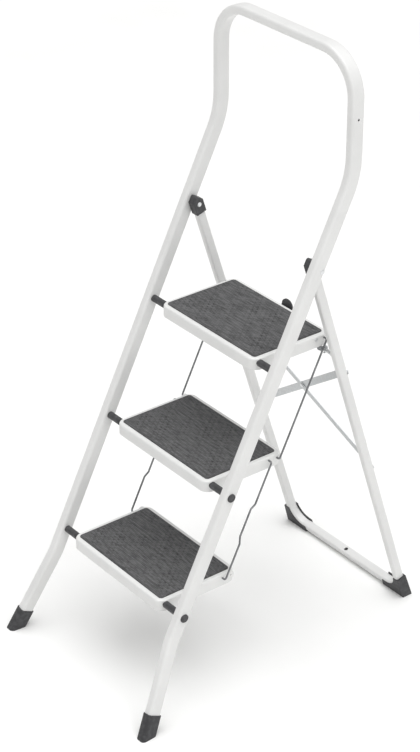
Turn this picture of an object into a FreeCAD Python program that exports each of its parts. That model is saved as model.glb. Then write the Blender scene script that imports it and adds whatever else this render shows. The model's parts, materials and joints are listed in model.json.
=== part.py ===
import FreeCAD, Part
import math
import os
import Sketcher
from FreeCAD import Placement, Rotation, Vector

# Folding three-tread step ladder, millimetres and degrees.
# +X is the user's right, +Y points from the front feet to the rear feet, +Z is up.
# The origin lies on the floor, midway between the front toes and the rear heels.
# The steps are climbed from -Y, towards +Y.

SIZES = [
    # overall shape of the opened ladder
    ("tread_rise", 235.0, "height from one tread to the next"),
    ("front_lean", 26.4, "lean of the front legs from upright"),
    ("foot_spread", 733.5, "front to rear leg lines, measured on the floor"),
    ("first_axle_height", 226.0, "lowest tread axle above the floor"),
    ("overall_height", 1305.0, "top of the handle above the floor"),
    ("frame_width", 403.0, "front legs, centre to centre, above the flare"),
    ("lean_top", 1061.0, "height where the leg line turns upright"),
    ("flare_height", 175.0, "height where the feet start to turn outwards"),
    ("foot_flare", 32.0, "outward shift of each front leg at the floor"),
    # front tube
    ("front_tube_width", 20.0, "across the ladder"),
    ("front_tube_depth", 30.0, "front to back"),
    ("front_tube_corner", 6.0, "outer corner radius"),
    ("front_tube_wall", 1.5, "tube wall"),
    ("handle_radius", 83.0, "centre line radius of the handle's corners"),
    ("lean_bend_radius", 170.0, "centre line radius where the legs turn upright"),
    ("flare_bend_radius", 120.0, "centre line radius where the feet turn out"),
    ("drain_hole_radius", 2.5, "coating drain hole in the outer face of each post"),
    ("drain_hole_height", 1176.0, "height of the drain hole"),
    # rear tube
    ("rear_tube_width", 15.0, "across the ladder"),
    ("rear_tube_depth", 20.0, "front to back"),
    ("rear_tube_corner", 4.0, "outer corner radius"),
    ("rear_tube_wall", 1.2, "tube wall"),
    ("rear_bend_radius", 42.0, "centre line radius of the rear frame's corners"),
    ("rear_drain_radius", 4.5, "coating drain hole in the bar on the floor"),
    ("rear_tube_reach", 6.0, "rear tube above the hinge, inside its cap"),
    # main hinge
    ("hinge_along", 214.6, "hinge above the top tread's axle, along the leg"),
    ("hinge_setback", 7.5, "hinge behind the front leg's centre line"),
    ("hinge_pin_radius", 3.0, "shaft of the hinge rivet"),
    ("hinge_head_radius", 5.0, "heads of the hinge rivet"),
    ("hinge_head_height", 1.6, "thickness of the rivet's heads"),
    ("washer_thickness", 1.0, "slip washer between front tube and leg cap"),
    ("washer_radius", 10.0, "slip washer"),
    ("leg_cap_wall", 2.2, "plastic around the rear tube's top end"),
    ("leg_cap_rise", 16.5, "cap above the hinge"),
    ("leg_cap_drop", 22.0, "cap below the hinge"),
    ("leg_cap_chamfer", 10.0, "sloped top of the cap"),
    ("leg_cap_edge", 1.2, "rounded side edges of the cap"),
    # feet
    ("boot_wall", 2.4, "front boot around the tube"),
    ("boot_height", 42.0, "front boot above the floor, on the centre line"),
    ("boot_sole", 6.0, "front boot under the tube"),
    ("boot_bevel", 1.0, "bevel around the boot's rim"),
    ("shoe_sole", 3.0, "rear shoe under the tube"),
    ("shoe_reach", 50.0, "rear shoe along the bar, from the leg's centre line"),
    ("shoe_side_low", 8.0, "rear shoe outside the tube, at the floor"),
    ("shoe_side_high", 4.0, "rear shoe outside the tube, at its top"),
    ("shoe_height", 39.0, "rear shoe above the bar's centre line"),
    ("shoe_lip", 2.2, "rim of the rear shoe on the inside of the bend"),
    ("shoe_lip_depth", 3.0, "that rim, front to back"),
    ("shoe_back", 2.0, "rear shoe behind the tube"),
    ("shoe_front", 1.5, "rear shoe in front of the tube"),
    ("shoe_cover", 12.0, "rear shoe over the tube's front and back, from the outside"),
    # cross rod and brace of the rear frame
    ("rod_below_hinge", 226.0, "cross rod under the hinge, along the rear leg"),
    ("rod_forward", 4.5, "cross rod in front of the rear leg's centre line"),
    ("rod_radius", 4.0, "cross rod"),
    ("brace_below_hinge", 416.0, "crossing of the brace strips under the hinge"),
    ("brace_drop", 270.0, "height between the two ends of one strip"),
    ("brace_width", 16.0, "brace strip"),
    ("brace_thickness", 1.5, "brace strip"),
    ("brace_end", 4.0, "brace strip beyond its end rivets"),
    ("rivet_radius", 2.4, "shaft of the brace rivets"),
    ("rivet_head_radius", 4.2, "heads of the brace rivets"),
    ("rivet_head_height", 1.4, "heads of the brace rivets"),
    ("rivet_tail", 3.6, "brace rivet inside the rear tube"),
    # treads
    ("tread_depth", 195.0, "pan, front to back"),
    ("tread_height", 25.0, "pan, top to the lower edge of its rim"),
    ("tread_sheet", 1.2, "sheet thickness of the pan"),
    ("tread_corner", 20.0, "pan's corners seen from above"),
    ("tread_bend", 4.0, "bend between pan and rim"),
    ("axle_behind_edge", 15.7, "axle behind the pan's front edge"),
    ("axle_below_top", 9.5, "axle below the pan's top"),
    ("mat_margin", 10.0, "bare metal around the mat"),
    ("mat_thickness", 2.5, "rubber mat"),
    ("mat_corner", 7.0, "mat's corners seen from above"),
    ("axle_radius", 4.0, "tread axle"),
    ("bush_radius", 6.0, "plastic bush in the pan's rim"),
    ("bush_flange_radius", 8.0, "bush flange inside the pan"),
    ("bush_flange", 5.0, "thickness of the bush flange, which fits the rim's corner"),
    ("sleeve_radius", 7.5, "spacer sleeve between leg and tread"),
    ("sleeve_length", 39.4, "spacer sleeve between leg and tread"),
    ("sleeve_gap", 0.6, "free play between sleeve and tread"),
    ("axle_cap_radius", 9.0, "plug over the end of an axle"),
    ("axle_cap_height", 3.5, "plug over the end of an axle"),
    ("axle_cap_dome", 2.4, "rounded outer rim of the plug"),
    ("axle_reach", 2.0, "axle beyond the leg's outer face"),
    # lift wires
    ("wire_radius", 2.0, "lift wire"),
    ("wire_gap", 9.5, "lift wire's centre line outside the pan's rim"),
    ("jog_gap", 3.3, "the same for the jogged stretch of a lower lift wire"),
    ("wire_reach_in", 6.5, "hooked end of a lift wire inside the rim"),
    ("wire_bend_radius", 4.5, "centre line bend radius of the lift wires"),
    ("upper_pin_margin", 15.9, "upper wire's hole ahead of the pan's rear edge"),
    ("lower_pin_margin", 36.0, "lower wire's hole ahead of the pan's rear edge"),
    ("pin_lift", 2.0, "both wire holes above the axle"),
    ("jog_start", 81.0, "jog above the lower end of the wire"),
    ("jog_length", 89.0, "length of the jogged stretch"),
    ("jog_ramp", 14.0, "length of each slanted step of the jog"),
    ("ear_radius", 7.5, "round ear on the rim at the wire hole"),
    ("ear_thickness", 1.5, "round ear on the rim"),
    # hook plates of the top tread
    ("hook_thickness", 2.5, "hook plate"),
    ("hook_lobe_radius", 8.5, "hook around the cross rod"),
    ("hook_exit_angle", 41.0, "slot of the hook from upright, downwards and forwards"),
    ("hook_plate_length", 20.5, "upper part of the hook plate along the rim"),
    ("hook_plate_height", 9.0, "front edge of the hook plate"),
    ("hook_below_top", 3.0, "hook plate's upper edge below the pan's top"),
    ("hook_corner_gap", 0.5, "hook plate ahead of the pan's rounded corner"),
    ("hook_arm", 4.5, "arm under the rim from the hook plate to the hook, half its width"),
    ("hook_rivet_radius", 2.0, "rivet that holds the hook plate"),
    ("hook_rivet_ahead", 20.0, "rivet ahead of the upper wire's hole"),
    # catch of the top tread
    ("catch_centre", 12.0, "catch lever to the right of the middle"),
    ("catch_width", 32.0, "catch lever"),
    ("catch_thickness", 3.0, "catch lever"),
    ("catch_flat", 3.2, "straight stretch on the catch lever's round top"),
    ("catch_gap", 4.5, "catch lever behind the pan's rim"),
    ("catch_rise", 12.0, "catch lever above the pan's top"),
    ("catch_drop", 10.0, "catch lever below its pivot"),
    ("catch_pivot_below_top", 8.0, "catch pivot below the pan's top"),
    ("catch_pin_radius", 1.5, "catch pivot pin"),
    ("lug_thickness", 2.0, "lugs that carry the catch pin"),
    # clearances
    ("running_fit", 0.06, "radial, shaft in a hole that turns on it"),
    ("loose_fit", 0.3, "radial, open pivot at the lower end of a wire"),
    ("seat_fit", 0.05, "radial or per side, parts that sit fast"),
    ("boot_fit", 0.1, "per side, plastic pushed over a tube"),
    ("rod_fit", 0.4, "radial, cross rod in the hook's slot"),
]

# mm within which two places count as the same one
TOUCH = 1e-4

doc = FreeCAD.newDocument("step_ladder")
sheet = doc.addObject("Spreadsheet::Sheet", "Sizes")
for row, (alias, value, note) in enumerate(SIZES, start=1):
    sheet.set("A%d" % row, note)
    sheet.set("B%d" % row, str(value))
    sheet.setAlias("B%d" % row, alias)
doc.recompute()


def size(alias):
    """The value of one named cell."""
    return float(sheet.get(alias))


# --- places worked out from the driving sizes -----------------------------------------

X_AXIS = Vector(1, 0, 0)
Y_AXIS = Vector(0, 1, 0)
Z_AXIS = Vector(0, 0, 1)

lean = math.radians(size("front_lean"))
leg_up = Vector(0, math.sin(lean), math.cos(lean))
leg_back = Vector(0, math.cos(lean), -math.sin(lean))

# front_floor: where the front leg's centre line meets the floor, with Y counted from it
front_half_cut = (size("front_tube_depth") / 2 + size("boot_wall") + size("boot_fit")) / math.cos(lean)
pitch = size("tread_rise") / math.cos(lean)
axle_run = size("first_axle_height") / math.cos(lean)
hinge_run = axle_run + 2 * pitch + size("hinge_along")
hinge_local = leg_up * hinge_run + leg_back * size("hinge_setback")

rear_lean = math.atan2(size("foot_spread") - hinge_local.y, hinge_local.z)
rear_up = Vector(0, -math.sin(rear_lean), math.cos(rear_lean))
rear_back = Vector(0, math.cos(rear_lean), math.sin(rear_lean))

# the rear bar's lowest corner stands one shoe sole above the floor
bar_height = (
    size("shoe_sole")
    + size("rear_tube_depth") / 2 * math.sin(rear_lean)
    + size("rear_tube_width") / 2 * math.cos(rear_lean)
)
bar_drop = (hinge_local.z - bar_height) / math.cos(rear_lean)
shoe_back_face = size("rear_tube_depth") / 2 + size("shoe_back")
bar_local = hinge_local - rear_up * bar_drop
heel_top = bar_local + rear_back * shoe_back_face
rear_heel = heel_top.y + heel_top.z * math.tan(rear_lean)
front_toe = -front_half_cut
front_floor_y = -(rear_heel + front_toe) / 2

hinge = hinge_local + Y_AXIS * front_floor_y
bar_centre = bar_local + Y_AXIS * front_floor_y
axles = [
    Y_AXIS * front_floor_y + leg_up * (axle_run + index * pitch)
    for index in range(3)
]
rod_centre = hinge - rear_up * size("rod_below_hinge") - rear_back * size("rod_forward")

leg_offset = size("frame_width") / 2
leg_inner_face = leg_offset - size("front_tube_width") / 2
leg_outer_face = leg_offset + size("front_tube_width") / 2
# longer than the ladder is wide, for holes and cuts that go right through
through = 2 * size("frame_width")
leg_cap_width = size("rear_tube_width") + 2 * size("leg_cap_wall")
leg_cap_outer = leg_inner_face - size("washer_thickness") - size("seat_fit")
leg_cap_inner = leg_cap_outer - leg_cap_width
rear_offset = leg_cap_outer - leg_cap_width / 2
sleeve_inner_end = leg_inner_face - size("sleeve_length")
tread_side = sleeve_inner_end - size("sleeve_gap")
pan_top = size("axle_below_top")
pan_bottom = pan_top - size("tread_height")
pan_front = -size("axle_behind_edge")
pan_rear = pan_front + size("tread_depth")
pan_middle = (pan_front + pan_rear) / 2
upper_pin_back = pan_rear - size("upper_pin_margin")
lower_pin_back = pan_rear - size("lower_pin_margin")
hook_rivet_back = upper_pin_back - size("hook_rivet_ahead")

WORKED = [
    ("pan_middle", pan_middle, "middle of the pan behind its axle"),
    ("pan_bottom", pan_bottom, "lower edge of the rim from the axle"),
    ("tread_width", 2 * tread_side, "pan, across the ladder"),
    ("pan_inner_width", 2 * (tread_side - size("tread_sheet")), "inside the rim"),
    ("pan_inner_depth", size("tread_depth") - 2 * size("tread_sheet"), "inside the rim"),
    ("pan_inner_corner", size("tread_corner") - size("tread_sheet"), "inside the rim"),
    ("pan_inner_height", size("tread_height") - size("tread_sheet"), "inside the pan"),
    ("mat_width", 2 * (tread_side - size("mat_margin")), "mat across"),
    ("mat_depth", size("tread_depth") - 2 * size("mat_margin"), "mat front to back"),
    ("bush_hole", size("bush_radius") + size("seat_fit"), "hole for the bush"),
    ("open_hole", size("wire_radius") + size("loose_fit"), "open pivot's hole"),
    ("bush_bore", size("axle_radius") + size("running_fit"), "bush on its axle"),
    ("sleeve_bore", size("axle_radius") + size("seat_fit"), "sleeve on its axle"),
    ("through_length", 2 * (leg_outer_face + size("axle_reach")), "middle and lowest axle"),
    ("inside_length", 2 * leg_offset, "top axle"),
    ("cap_bore", size("axle_radius") + size("seat_fit"), "plug on its axle"),
    ("hinge_bore", size("hinge_pin_radius") + size("running_fit"), "hole on the hinge pin"),
    ("rod_length", 2 * rear_offset - size("rear_tube_width"), "cross rod"),
    ("brace_length", math.hypot(2 * rear_offset, size("brace_drop")) + 2 * size("brace_end"),
     "brace strip"),
    ("rivet_bore", size("rivet_radius") + size("seat_fit"), "hole for a brace rivet"),
    ("axle_up", -pan_bottom, "axle above the rim's lower edge"),
    ("pin_up", size("pin_lift") - pan_bottom, "wire holes above the rim's lower edge"),
    ("upper_pin_back", upper_pin_back, "upper wire's hole behind the axle"),
    ("lower_pin_back", lower_pin_back, "lower wire's hole behind the axle"),
    ("hook_rivet_back", hook_rivet_back, "hook plate's rivet behind the axle"),
    ("ear_span", 2 * (tread_side + size("ear_thickness")), "over both ears"),
    ("wire_hole", size("wire_radius") + size("running_fit"), "hole a wire turns in"),
    ("hook_rivet_hole", size("hook_rivet_radius") + size("seat_fit"), "hole for the rivet"),
    ("strip_corner", size("brace_width") / 2 - size("seat_fit"), "rounded ends of a strip"),
    ("brace_half_run", math.hypot(2 * rear_offset, size("brace_drop")) / 2, "middle to end rivet"),
]
worked = doc.addObject("Spreadsheet::Sheet", "Worked")
for row, (alias, value, note) in enumerate(WORKED, start=1):
    worked.set("A%d" % row, note)
    worked.set("B%d" % row, repr(value))
    worked.setAlias("B%d" % row, alias)
doc.recompute()

parts = []


def keep(thing, label):
    """Names a finished sub-part and puts it on the list that is exported."""
    thing.Label = label
    parts.append(thing)
    return thing


# --- helpers for sketched bodies ----------------------------------------------------

def new_body(label):
    """An empty body for one sub-part."""
    return keep(doc.addObject("PartDesign::Body", "Body_" + label), label)


def sketch_on(body, role, name):
    """A sketch on one of the body's own origin planes."""
    sketch = body.newObject("Sketcher::SketchObject", name)
    plane = [item for item in body.Origin.OriginFeatures if item.Role == role][0]
    sketch.AttachmentSupport = [(plane, "")]
    sketch.MapMode = "FlatFace"
    return sketch


def bind(sketch, constraint, name, expression):
    """Adds one dimension to a sketch and ties it to a cell."""
    index = sketch.addConstraint(constraint)
    sketch.renameConstraint(index, name)
    sketch.setExpression("Constraints." + name, expression)


def add_circle(sketch, radius, expression, name, centre=None):
    """A circle; centre is a list of ((value, cell) of x, (value, cell) of y), or the origin."""
    x = centre[0][0] if centre else 0.0
    y = centre[1][0] if centre else 0.0
    index = sketch.addGeometry(Part.Circle(Vector(x, y, 0), Z_AXIS, radius), False)
    bind(sketch, Sketcher.Constraint("Radius", index, radius), name + "_radius", expression)
    if centre is None:
        sketch.addConstraint(Sketcher.Constraint("Coincident", index, 3, -1, 1))
        return index
    for axis, (value, cell) in zip("XY", centre):
        if cell is None:
            kind = "PointOnObject"
            edge = -2 if axis == "X" else -1
            sketch.addConstraint(Sketcher.Constraint(kind, index, 3, edge))
        else:
            limit = Sketcher.Constraint("Distance" + axis, -1, 1, index, 3, value)
            bind(sketch, limit, name + "_" + axis.lower(), cell)
    return index


def add_rounded_rectangle(sketch, width, height, radius, middle=None):
    """A rectangle with round corners. Each size is (value, cell); middle lifts its centre."""
    lift = middle[0] if middle else 0.0
    half = Vector(width[0] / 2, height[0] / 2, 0)
    corner = radius[0]
    signs = [(1, -1), (1, 1), (-1, 1), (-1, -1)]
    centres = [Vector(sx * (half.x - corner), sy * (half.y - corner) + lift, 0) for sx, sy in signs]
    starts = [-math.pi / 2, 0.0, math.pi / 2, math.pi]
    outward = [Vector(0, -1, 0), Vector(1, 0, 0), Vector(0, 1, 0), Vector(-1, 0, 0)]
    lines = []
    arcs = []
    for index in range(4):
        previous = centres[index - 1] + outward[index] * corner
        here = centres[index] + outward[index] * corner
        lines.append(sketch.addGeometry(Part.LineSegment(previous, here), False))
        circle = Part.Circle(centres[index], Z_AXIS, corner)
        arc = Part.ArcOfCircle(circle, starts[index], starts[index] + math.pi / 2)
        arcs.append(sketch.addGeometry(arc, False))
    for index in range(4):
        following = lines[(index + 1) % 4]
        sketch.addConstraint(Sketcher.Constraint("Tangent", lines[index], 2, arcs[index], 1))
        sketch.addConstraint(Sketcher.Constraint("Tangent", arcs[index], 2, following, 1))
    for index, kind in enumerate(("Horizontal", "Vertical", "Horizontal", "Vertical")):
        sketch.addConstraint(Sketcher.Constraint(kind, lines[index]))
    for index in range(3):
        sketch.addConstraint(Sketcher.Constraint("Equal", arcs[index], arcs[index + 1]))
    bind(sketch, Sketcher.Constraint("Radius", arcs[0], corner), "corner", radius[1])
    across = Sketcher.Constraint("DistanceX", lines[3], 1, lines[1], 1, width[0])
    bind(sketch, across, "width", width[1])
    upwards = Sketcher.Constraint("DistanceY", lines[0], 1, lines[2], 1, height[0])
    bind(sketch, upwards, "height", height[1])
    centre = sketch.addGeometry(Part.Point(Vector(0, lift, 0)), True)
    sketch.addConstraint(Sketcher.Constraint("Symmetric", arcs[0], 3, arcs[2], 3, centre, 1))
    if middle is None:
        sketch.addConstraint(Sketcher.Constraint("Coincident", centre, 1, -1, 1))
    else:
        sketch.addConstraint(Sketcher.Constraint("PointOnObject", centre, 1, -2))
        limit = Sketcher.Constraint("DistanceY", -1, 1, centre, 1, lift)
        bind(sketch, limit, "middle", middle[1])


def cell(alias, book="Sizes"):
    """(value, cell name) of a named size, for the sketch helpers."""
    source = sheet if book == "Sizes" else worked
    return float(source.get(alias)), "%s.%s" % (book, alias)


def pad(body, sketch, name, length_cell, both_ways=False, backwards=False):
    """A pad whose length is a cell."""
    feature = body.newObject("PartDesign::Pad", name)
    feature.Profile = sketch
    feature.setExpression("Length", length_cell)
    feature.Midplane = both_ways
    feature.Reversed = backwards
    sketch.Visibility = False
    doc.recompute()
    return feature


def pocket(body, sketch, name, length_cell=None, backwards=False):
    """A pocket; through everything both ways when no length is given. It has to remove metal."""
    before = body.Shape.Volume
    feature = body.newObject("PartDesign::Pocket", name)
    feature.Profile = sketch
    if length_cell is None:
        feature.Type = "ThroughAll"
        feature.Midplane = True
    else:
        feature.setExpression("Length", length_cell)
        feature.Reversed = backwards
    sketch.Visibility = False
    doc.recompute()
    if body.Shape.Volume >= before:
        raise ValueError("pocket %s of %s removes nothing" % (name, body.Label))
    return feature


def dress(body, kind, name, edges, cell):
    """A fillet or chamfer of the body's tip on the named edges."""
    base = body.Tip
    feature = body.newObject("PartDesign::" + kind, name)
    feature.Base = (base, edges)
    feature.setExpression("Radius" if kind == "Fillet" else "Size", cell)
    doc.recompute()
    return feature


def edges_where(body, test):
    """Names of the tip's edges whose middle point and direction pass the test."""
    names = []
    for number, edge in enumerate(body.Tip.Shape.Edges, start=1):
        middle = edge.valueAt((edge.FirstParameter + edge.LastParameter) / 2)
        if test(edge, middle):
            names.append("Edge%d" % number)
    return names


def upright(edge, middle):
    """True for a straight edge along Z."""
    ends = edge.Vertexes
    if len(ends) < 2:
        return False
    run = ends[1].Point - ends[0].Point
    return math.hypot(run.x, run.y) < TOUCH and abs(run.z) > TOUCH


# --- helpers for tubes and wires that bend in space --------------------------------------

def rounded_face(width, depth, radius):
    """A rounded rectangle in the XY plane, width along X, centred on the origin."""
    x = width / 2
    y = depth / 2
    plate = Part.makePlane(width, depth, Vector(-x, -y, 0), Z_AXIS)
    solid = plate.extrude(Z_AXIS)
    rims = [edge for edge in solid.Edges if upright(edge, None)]
    solid = solid.makeFillet(radius, rims)
    lowest = min(solid.Faces, key=lambda face: face.CenterOfMass.z)
    return Part.Face(lowest.OuterWire)


def round_face(radius):
    """A disc in the XY plane, centred on the origin."""
    return Part.Face(Part.Wire(Part.makeCircle(radius)))


def bent_bar(face, corners, radii, across):
    """Carries a face along straight runs joined by arcs, and returns one solid.

    Each inner corner of the route is rounded by its own radius. The face's X axis starts
    along across, and turns with the bends.
    """
    pieces = []
    place = corners[0]
    side = across
    for index in range(len(corners) - 1):
        heading = (corners[index + 1] - corners[index]).normalize()
        trim = 0.0
        turn = 0.0
        if index < len(corners) - 2:
            following = (corners[index + 2] - corners[index + 1]).normalize()
            turn = heading.getAngle(following)
            trim = radii[index] * math.tan(turn / 2)
        run = (corners[index + 1] - place).Length - trim
        start = face.copy()
        depth = heading.cross(side)
        start.Placement = Placement(place, Rotation(side, depth, heading, "ZXY"))
        pieces.append(start.extrude(heading * run))
        place = place + heading * run
        if turn:
            start = face.copy()
            start.Placement = Placement(place, Rotation(side, depth, heading, "ZXY"))
            axis = heading.cross(following).normalize()
            centre = place + axis.cross(heading) * radii[index]
            pieces.append(start.revolve(centre, axis, math.degrees(turn)))
            spin = Rotation(axis, math.degrees(turn))
            place = centre + spin.multVec(place - centre)
            side = spin.multVec(side)
    return pieces[0].multiFuse(pieces[1:]).removeSplitter()


def mirrored(shape):
    """The shape and its mirror image on the other side of the ladder, joined."""
    return shape.fuse(shape.mirror(Vector(0, 0, 0), X_AXIS)).removeSplitter()


def cross_drill(radius, point, length):
    """A cylinder along X, centred on a point, for a hole that goes across the ladder."""
    return Part.makeCylinder(radius, length, point - X_AXIS * (length / 2), X_AXIS)


def solid_feature(label, shape, placement=Placement()):
    """A feature that holds a finished solid; its placement is set after its shape."""
    feature = doc.addObject("Part::Feature", "Solid_" + label)
    feature.Shape = shape
    feature.Placement = placement
    return keep(feature, label)


rear_place = Placement(hinge, Rotation(X_AXIS, math.degrees(rear_lean)))
tread_places = [Placement(axle, Rotation()) for axle in axles]
TREADS = ("bottom", "middle", "top")
SIDES = (("left", -1), ("right", 1))


# --- front frame ----------------------------------------------------------------------

flare = math.atan2(size("foot_flare"), size("flare_height") / math.cos(lean))
handle_y = front_floor_y + size("lean_top") * math.tan(lean)
handle_z = size("overall_height") - size("front_tube_width") / 2
flare_point = Vector(
    leg_offset, front_floor_y + size("flare_height") * math.tan(lean), size("flare_height"))
foot_point = Vector(leg_offset + size("foot_flare"), front_floor_y, 0)
foot_down = (foot_point - flare_point).normalize()
tube_end = foot_point - foot_down * (size("boot_sole") + size("front_tube_depth") / 2 * math.tan(lean))
FRONT_ROUTE = [
    Vector(0, handle_y, handle_z),
    Vector(leg_offset, handle_y, handle_z),
    Vector(leg_offset, handle_y, size("lean_top")),
    flare_point,
    tube_end,
]
FRONT_RADII = [size("handle_radius"), size("lean_bend_radius"), size("flare_bend_radius")]


def front_section(grow):
    """The front tube's outline, moved outwards by grow."""
    return rounded_face(
        size("front_tube_width") + 2 * grow,
        size("front_tube_depth") + 2 * grow,
        size("front_tube_corner") + grow,
    )


def front_frame_tube():
    """One tube bent into both legs and the handle, drilled for axles, hinge pins and coating."""
    outer = bent_bar(front_section(0), FRONT_ROUTE, FRONT_RADII, Z_AXIS)
    overshoot = FRONT_ROUTE[:-1] + [tube_end + foot_down * size("boot_sole")]
    bore = bent_bar(front_section(-size("front_tube_wall")), overshoot, FRONT_RADII, Z_AXIS)
    tube = mirrored(outer).cut(mirrored(bore))
    pin_hole = size("hinge_pin_radius") + size("seat_fit")
    axle_hole = size("axle_radius") + size("seat_fit")
    drain = Vector(0, handle_y, size("drain_hole_height"))
    cuts = [
        cross_drill(axle_hole, axles[0], through),
        cross_drill(axle_hole, axles[1], through),
        cross_drill(axle_hole, axles[2], 2 * leg_offset),
        cross_drill(pin_hole, hinge, through),
    ] + [
        cross_drill(size("drain_hole_radius"), drain + X_AXIS * (side * leg_outer_face),
                    size("front_tube_width"))
        for name, side in SIDES
    ]
    return solid_feature("front_frame_tube", tube.cut(cuts))


def front_foot(name, side):
    """A boot pushed over the leg's end, with a level sole on the floor."""
    across = X_AXIS - foot_down * X_AXIS.dot(foot_down)
    across.normalize()
    turned = Rotation(across, foot_down.cross(across), foot_down, "ZXY")
    length = size("boot_height") / abs(foot_down.z)
    top = foot_point - foot_down * length
    outside = front_section(size("boot_wall") + size("boot_fit"))
    outside.Placement = Placement(top, turned)
    boot = outside.extrude(foot_down * (length + size("front_tube_depth")))
    rim = [edge for edge in boot.Edges if abs((edge.CenterOfMass - top).dot(foot_down)) < TOUCH]
    boot = boot.makeChamfer(size("boot_bevel"), rim)
    socket = front_section(size("boot_fit"))
    socket.Placement = Placement(top - foot_down, turned)
    boot = boot.cut(socket.extrude(tube_end - socket.Placement.Base))
    corner = foot_point - Vector(through / 2, through / 2, through)
    boot = boot.cut(Part.makeBox(through, through, through, corner))
    if side < 0:
        boot = boot.mirror(Vector(0, 0, 0), X_AXIS)
    solid_feature("front_foot_" + name, boot)


def axle(name, place, length_cell):
    """A steel rod across the ladder that one tread turns on."""
    rod = doc.addObject("Part::Cylinder", "Rod_" + name)
    rod.setExpression("Radius", "Sizes.axle_radius")
    rod.setExpression("Height", length_cell)
    doc.recompute()
    start = place - X_AXIS * (rod.Height.Value / 2)
    rod.Placement = Placement(start, Rotation(Z_AXIS, X_AXIS))
    return keep(rod, name + "_axle")


def sleeve(name, place, side):
    """A plastic tube around the axle that keeps the tread away from the leg."""
    body = new_body(name)
    sketch = sketch_on(body, "YZ_Plane", "Ring_" + name)
    add_circle(sketch, size("sleeve_radius"), "Sizes.sleeve_radius", "outer")
    add_circle(sketch, size("axle_radius"), "Worked.sleeve_bore", "inner")
    pad(body, sketch, "Length_" + name, "Sizes.sleeve_length", both_ways=True)
    middle = (leg_inner_face + sleeve_inner_end) / 2
    body.Placement = Placement(place + X_AXIS * (side * middle), Rotation())


def axle_cap(name, place, side):
    """A domed plug pushed over the end of an axle, against the leg's outer face."""
    body = new_body(name)
    sketch = sketch_on(body, "XY_Plane", "Disc_" + name)
    add_circle(sketch, size("axle_cap_radius"), "Sizes.axle_cap_radius", "outer")
    pad(body, sketch, "Plug_" + name, "Sizes.axle_cap_height")
    rim = edges_where(body, lambda edge, middle: middle.z > size("axle_cap_height") / 2
                      and math.hypot(edge.CenterOfMass.x, edge.CenterOfMass.y) < TOUCH)
    dress(body, "Fillet", "Dome_" + name, rim, "Sizes.axle_cap_dome")
    bore = sketch_on(body, "XY_Plane", "Bore_" + name)
    add_circle(bore, size("axle_radius"), "Worked.cap_bore", "bore")
    pocket(body, bore, "Seat_" + name, "Sizes.axle_reach", backwards=True)
    base = place + X_AXIS * (side * leg_outer_face)
    body.Placement = Placement(base, Rotation(Z_AXIS, X_AXIS * side))


def stepped_pin(label, place, start, steps):
    """Coaxial cylinders along X from start: each step is (radius cell, length cell or value)."""
    pieces = []
    x = start
    for index, (radius_cell, length) in enumerate(steps):
        piece = doc.addObject("Part::Cylinder", "Step%d_%s" % (index, label))
        piece.setExpression("Radius", radius_cell)
        if isinstance(length, str):
            piece.setExpression("Height", length)
        else:
            piece.Height = length
        doc.recompute()
        piece.Placement = Placement(place + X_AXIS * x, Rotation(Z_AXIS, X_AXIS))
        x += piece.Height.Value
        pieces.append(piece)
    joined = doc.addObject("Part::MultiFuse", "Pin_" + label)
    joined.Shapes = pieces
    joined.Refine = True
    doc.recompute()
    return keep(joined, label)


def hinge_pin(name, side):
    """The rivet that carries the rear leg; its heads lie on the front tube and on the cap."""
    inner = leg_cap_inner - size("seat_fit")
    outer = leg_outer_face
    steps = [
        ("Sizes.hinge_head_radius", "Sizes.hinge_head_height"),
        ("Sizes.hinge_pin_radius", outer - inner),
        ("Sizes.hinge_head_radius", "Sizes.hinge_head_height"),
    ]
    start = inner - size("hinge_head_height")
    if side < 0:
        start = -outer - size("hinge_head_height")
    stepped_pin("hinge_pin_" + name, hinge, start, steps)


def hinge_washer(name, side):
    """A slip washer between the front tube and the rear leg's cap."""
    body = new_body("hinge_washer_" + name)
    sketch = sketch_on(body, "YZ_Plane", "Washer_" + name)
    add_circle(sketch, size("washer_radius"), "Sizes.washer_radius", "outer")
    add_circle(sketch, size("hinge_pin_radius"), "Worked.hinge_bore", "inner")
    pad(body, sketch, "WasherPad_" + name, "Sizes.washer_thickness", both_ways=True)
    middle = leg_inner_face - size("washer_thickness") / 2
    body.Placement = Placement(hinge + X_AXIS * (side * middle), Rotation())


# --- rear frame, drawn upright with the hinge at its origin --------------------------------

REAR_RADII = [size("rear_bend_radius")]
rear_route = [
    Vector(0, 0, -bar_drop),
    Vector(rear_offset, 0, -bar_drop),
    Vector(rear_offset, 0, size("rear_tube_reach")),
]


def rear_section(grow):
    """The rear tube's outline, moved outwards by grow."""
    return rounded_face(
        size("rear_tube_width") + 2 * grow,
        size("rear_tube_depth") + 2 * grow,
        size("rear_tube_corner") + grow,
    )


def rear_bar(grow, over=0.0):
    """The whole U of the rear frame as one solid, its section grown by grow."""
    route = rear_route[:-1] + [rear_route[-1] + Z_AXIS * over]
    return mirrored(bent_bar(rear_section(grow), route, REAR_RADII, Z_AXIS))


def rear_frame_tube():
    """One tube bent into a U: two legs and the bar on the floor."""
    tube = rear_bar(0).cut(rear_bar(-size("rear_tube_wall"), over=size("rear_tube_wall")))
    hole = size("hinge_pin_radius") + size("running_fit")
    rivet = size("rivet_radius") + size("seat_fit")
    cuts = [cross_drill(hole, Vector(0, 0, 0), through)]
    half_drop = size("brace_drop") / 2
    for side in (-1, 1):
        for lift in (-half_drop, half_drop):
            point = Vector(side * rear_offset, 0, lift - size("brace_below_hinge"))
            cuts.append(Part.makeCylinder(rivet, size("rear_tube_depth"), point, Y_AXIS))
    cuts.append(Part.makeCylinder(size("rear_drain_radius"), size("rear_tube_width"),
                                  Vector(0, 0, -bar_drop), Z_AXIS))
    solid_feature("rear_frame_tube", tube.cut(cuts), rear_place)


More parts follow.
